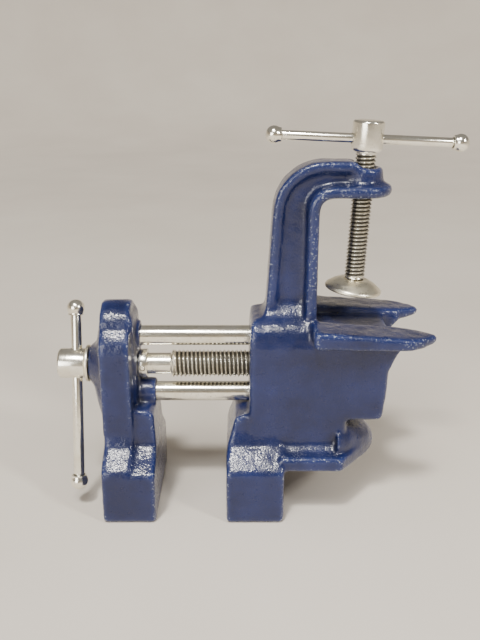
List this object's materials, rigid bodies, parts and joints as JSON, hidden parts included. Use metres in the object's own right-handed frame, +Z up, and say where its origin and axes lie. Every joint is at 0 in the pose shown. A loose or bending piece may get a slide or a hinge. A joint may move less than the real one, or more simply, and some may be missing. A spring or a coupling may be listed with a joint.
{
  "type": "clamp-on bench vise",
  "caption": "Small clamp-on bench vise with anvil and horn, standing upside down on its jaw tips; screw-driven sliding jaw on guide rods, C-shaped table clamp with a dished swivel pad.",
  "frame": {"origin": "on the end face of the fixed jaw, in the middle plane, where the turned-over vise stands; Z = 0 is the surface it stands on", "axes": "+Z up as the object stands in the picture, which is upside down: in use -Z is up. +X runs along the lead screw from the handle towards the table clamp, and Y = 0 is the middle plane"},
  "size_m": [0.1722, 0.056, 0.1692],
  "materials": {
    "blue_enamel": "glossy enamel over a rough casting",
    "bright_plated_steel": "bright plated",
    "dull_plated_steel": "dull plated",
    "nut_iron": "machined"
  },
  "bodies": {
    "body": {"fixed_body": "blue_enamel", "lead_screw_nut": "nut_iron", "nut_set_screw": "bright_plated_steel"},
    "sliding_jaw": {"movable_jaw": "blue_enamel", "guide_rod_upper": "bright_plated_steel", "guide_rod_lower": "bright_plated_steel", "rod_pin_upper": "bright_plated_steel", "rod_pin_lower": "bright_plated_steel"},
    "main_screw": {"lead_screw": "bright_plated_steel", "thrust_washer": "bright_plated_steel", "retaining_collar": "bright_plated_steel", "collar_pin": "bright_plated_steel"},
    "main_handle": {"handle_bar": "bright_plated_steel", "handle_ball_lower": "bright_plated_steel", "handle_ball_upper": "bright_plated_steel"},
    "clamp_carriage": {"pad_washer": "dull_plated_steel"},
    "table_clamp_screw": {"clamp_screw": "bright_plated_steel"},
    "clamp_handle": {"clamp_bar": "bright_plated_steel", "clamp_ball_left": "bright_plated_steel", "clamp_ball_right": "bright_plated_steel"},
    "pad": {"swivel_pad": "dull_plated_steel"}
  },
  "joints": [
    {"name": "jaw_slide", "type": "slide", "parent": "body", "child": "sliding_jaw", "axis": [1, 0, 0], "range_m": [-0.013, 0.03]},
    {"name": "lead_screw_turn", "type": "hinge", "parent": "sliding_jaw", "child": "main_screw", "pos_m": [-0.0679, 0, 0.0642], "axis": [1, 0, 0], "range_deg": [-2585, 5960]},
    {"name": "handle_slide", "type": "slide", "parent": "main_screw", "child": "main_handle", "axis": [0, 0.2419, 0.9703], "range_m": [-0.0145, 0.0435]},
    {"name": "clamp_travel", "type": "slide", "parent": "body", "child": "clamp_carriage", "axis": [0.0436, 0, 0.999], "range_m": [-0.0028, 0.033]},
    {"name": "clamp_turn", "type": "hinge", "parent": "clamp_carriage", "child": "table_clamp_screw", "pos_m": [0.0504, 0, 0.145], "axis": [0.0436, 0, 0.999], "range_deg": [-640, 7490]},
    {"name": "clamp_bar_slide", "type": "slide", "parent": "table_clamp_screw", "child": "clamp_handle", "axis": [0.999, 0, -0.0436], "range_m": [-0.0279, 0.0279]},
    {"name": "pad_tilt", "type": "hinge", "parent": "clamp_carriage", "child": "pad", "pos_m": [0.04848, 0, 0.10104], "axis": [0, 1, 0], "range_deg": [-12, 2.5]}
  ],
  "couplings": [
    {"joint": "lead_screw_turn", "follows": "jaw_slide", "rad_per_m": 3463.2},
    {"joint": "clamp_turn", "follows": "clamp_travel", "rad_per_m": 3957.9}
  ]
}
